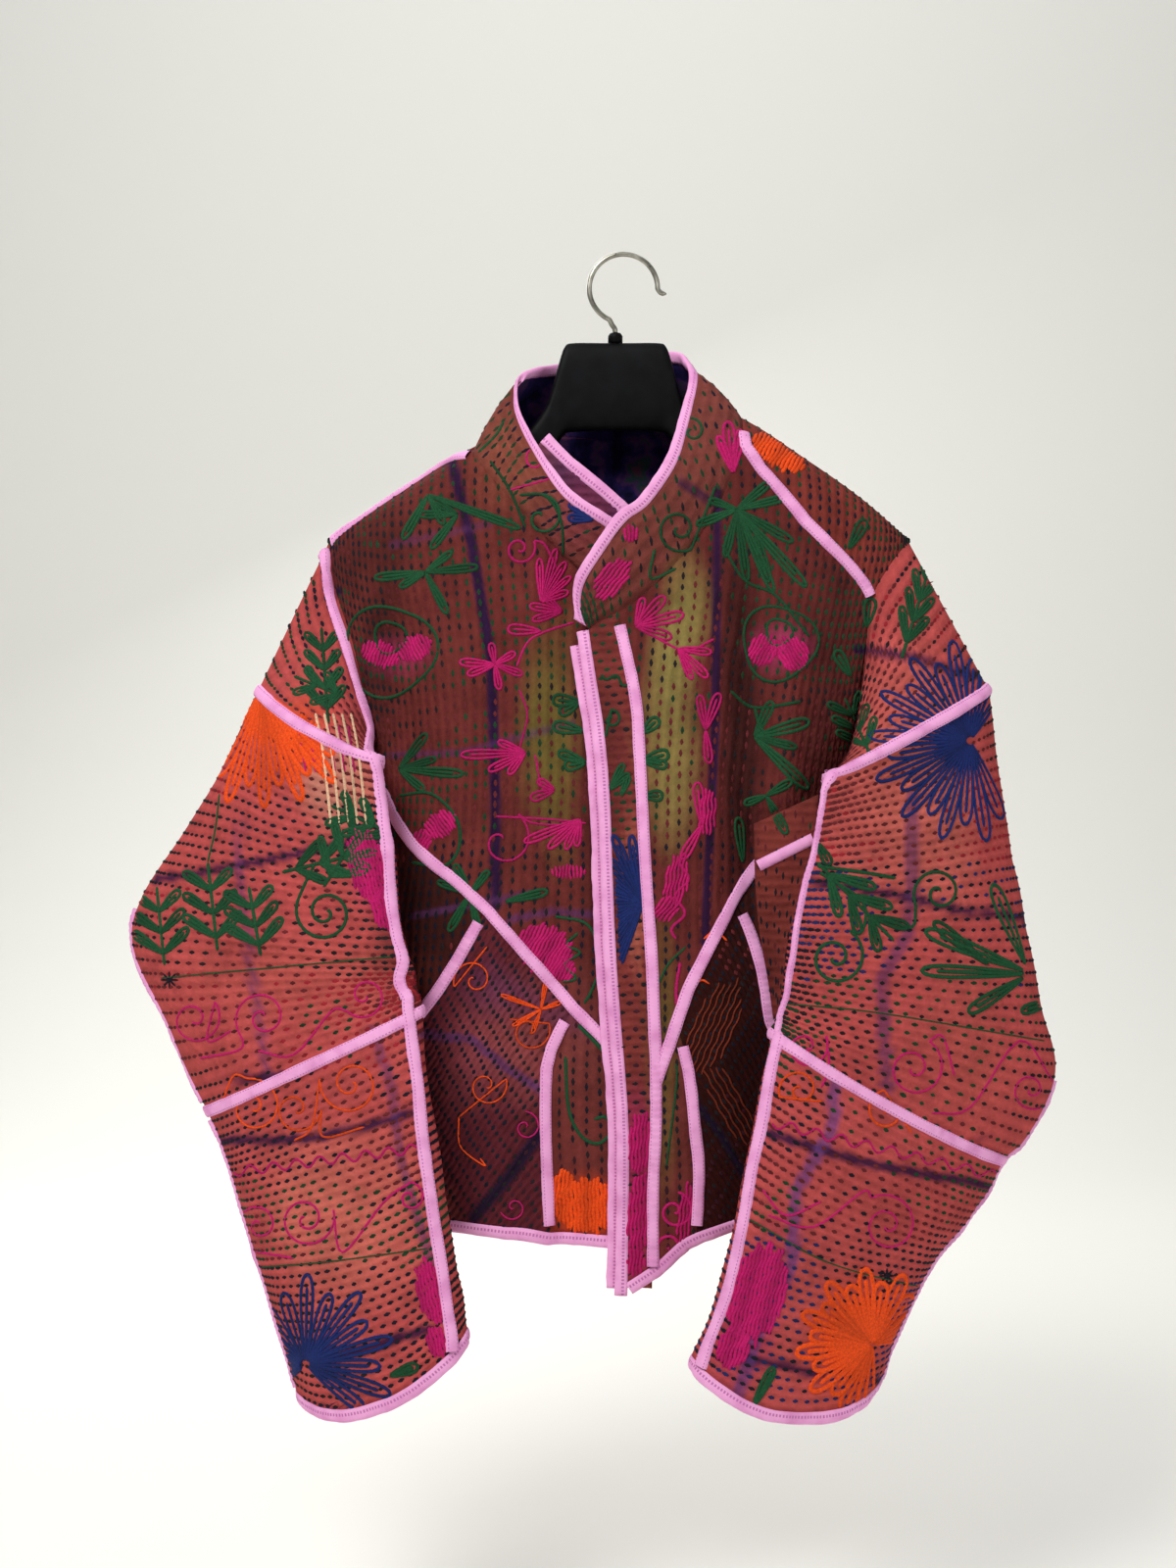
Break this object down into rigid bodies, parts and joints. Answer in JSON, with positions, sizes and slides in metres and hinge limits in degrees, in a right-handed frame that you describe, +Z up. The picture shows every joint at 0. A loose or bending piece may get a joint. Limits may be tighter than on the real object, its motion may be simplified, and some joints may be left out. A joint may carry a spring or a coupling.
{
  "type": "quilted kantha jacket on a coat hanger",
  "caption": "Boxy quilted kantha jacket with stand collar, pink bound seams and wide sleeves, hanging open at the neck on a wide plastic suit hanger.",
  "frame": {"origin": "lowest point of the inner side of the hook's bow, where it bears on a nail or rail", "axes": "+Z up, front of the jacket to -Y, the wearer's left to +X"},
  "size_m": [0.655, 0.1649, 0.8079],
  "materials": {
    "front_quilt": "matte quilted cotton, coral with running stitches",
    "back_quilt": "matte quilted cotton, coral with running stitches",
    "pocket_quilt": "matte quilted cotton, dark coral with dense diagonal stitches",
    "sleeve_quilt": "matte quilted cotton, salmon with running stitches",
    "pink_binding": "folded pink cotton tape, slight sheen",
    "black_plastic": "moulded, slight gloss",
    "zinc_wire": "zinc plated wire"
  },
  "bodies": {
    "root": {"back": "back_quilt", "collar": "front_quilt", "collar_binding": "pink_binding", "collar_guard": "front_quilt", "collar_guard_binding": "pink_binding", "cuff_left_binding": "pink_binding", "cuff_right_binding": "pink_binding", "elbow_left_lower_strip": "pink_binding", "elbow_left_upper_strip": "pink_binding", "elbow_right_lower_strip": "pink_binding", "elbow_right_upper_strip": "pink_binding", "front_left_lower": "front_quilt", "front_left_side": "front_quilt", "front_left_upper": "front_quilt", "front_right_lower": "front_quilt", "front_right_side": "front_quilt", "front_right_upper": "front_quilt", "hanger_body": "black_plastic", "hanger_boss": "black_plastic", "hanger_hook": "zinc_wire", "hem_back_binding": "pink_binding", "hem_front_left_binding": "pink_binding", "hem_front_right_binding": "pink_binding", "placket": "front_quilt", "placket_binding": "pink_binding", "placket_guard": "front_quilt", "placket_guard_binding": "pink_binding", "placket_seam_strip": "pink_binding", "pocket_left": "pocket_quilt", "pocket_left_inner_strip": "pink_binding", "pocket_left_outer_strip": "pink_binding", "pocket_left_welt_strip": "pink_binding", "pocket_right": "pocket_quilt", "pocket_right_inner_strip": "pink_binding", "pocket_right_outer_strip": "pink_binding", "pocket_right_welt_strip": "pink_binding", "shoulder_left_strip": "pink_binding", "shoulder_right_strip": "pink_binding", "sleeve_left_first_band": "pink_binding", "sleeve_left_long_strip": "pink_binding", "sleeve_left_lower": "sleeve_quilt", "sleeve_left_middle": "sleeve_quilt", "sleeve_left_second_band": "pink_binding", "sleeve_left_under": "sleeve_quilt", "sleeve_left_under_band": "pink_binding", "sleeve_left_upper": "sleeve_quilt", "sleeve_right_first_band": "pink_binding", "sleeve_right_long_strip": "pink_binding", "sleeve_right_lower": "sleeve_quilt", "sleeve_right_middle": "sleeve_quilt", "sleeve_right_second_band": "pink_binding", "sleeve_right_upper": "sleeve_quilt"}
  },
  "joints": []
}
